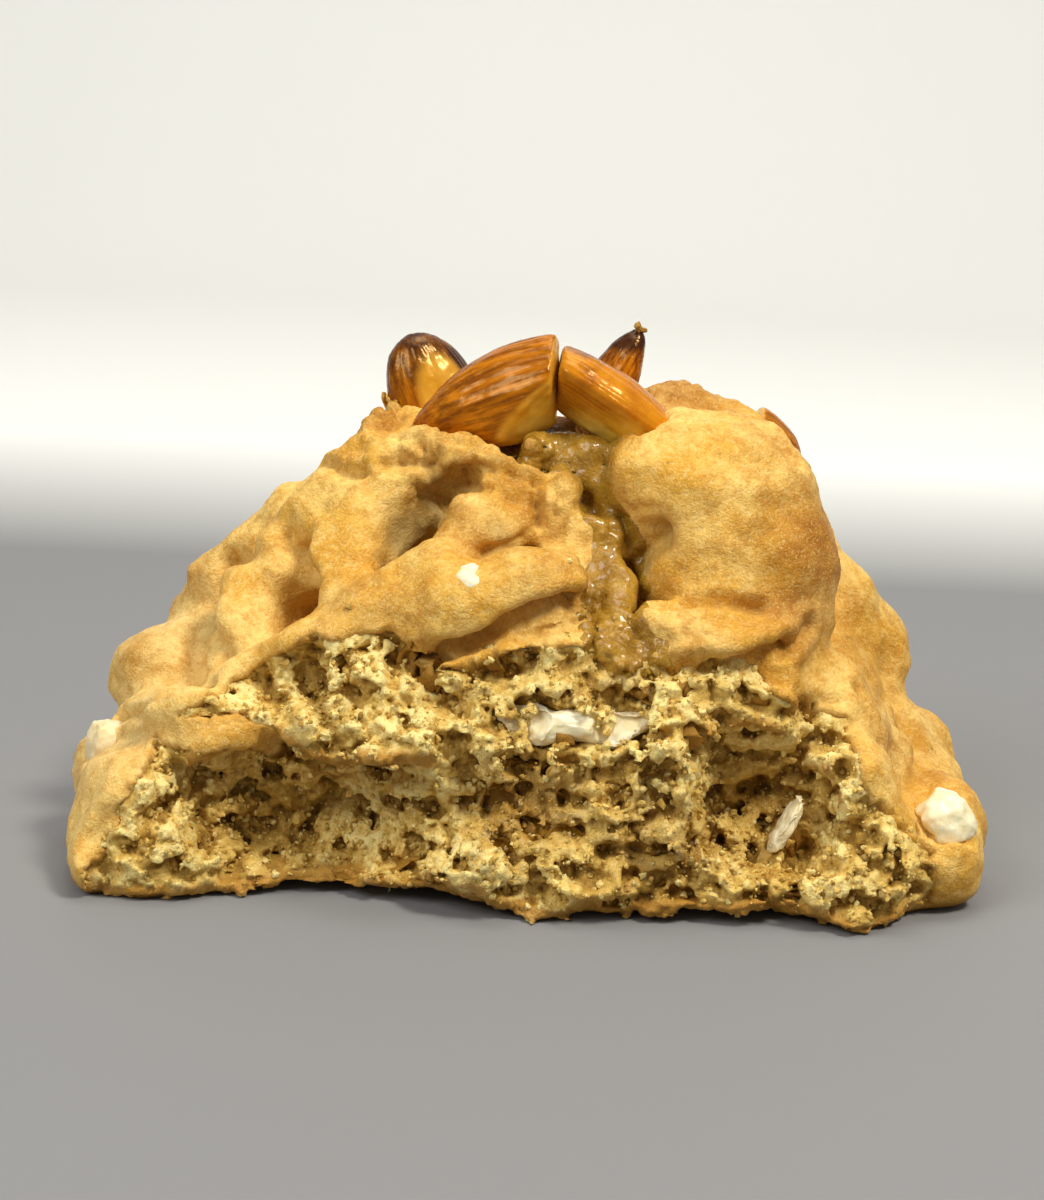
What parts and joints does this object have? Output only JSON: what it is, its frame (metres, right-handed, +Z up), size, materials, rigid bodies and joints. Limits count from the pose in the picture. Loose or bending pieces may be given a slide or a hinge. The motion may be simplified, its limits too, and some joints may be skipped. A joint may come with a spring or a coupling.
{
  "type": "salted caramel cookie",
  "caption": "Larger piece of a thick craggy cookie broken in two: almonds in salted caramel on top, white chocolate and a caramel centre laid open at the torn face.",
  "frame": {"origin": "middle of the flat base, where the base face is", "axes": "+Z up; the break faces -Y; the cookie's width runs along X"},
  "size_m": [0.1029, 0.0708, 0.0586],
  "materials": {
    "baked_dough": "dry baked crust, golden to light brown, paler and crumbly at the break",
    "glazed_almond": "streaked almond skin under a glassy caramel glaze, with pale yellow cuts",
    "salted_caramel": "sticky translucent caramel, wet gloss",
    "white_chocolate": "creamy white chocolate, softly satin"
  },
  "bodies": {
    "root": {"dough": "baked_dough", "almond_front": "glazed_almond", "almond_middle": "glazed_almond", "almond_back": "glazed_almond", "almond_tip": "glazed_almond", "almond_rear": "glazed_almond", "caramel_run": "salted_caramel", "caramel_core": "salted_caramel", "chunk_left": "white_chocolate", "chunk_right": "white_chocolate", "chunk_crust": "white_chocolate", "chunk_melted": "white_chocolate", "chunk_pocket": "white_chocolate"}
  },
  "joints": []
}
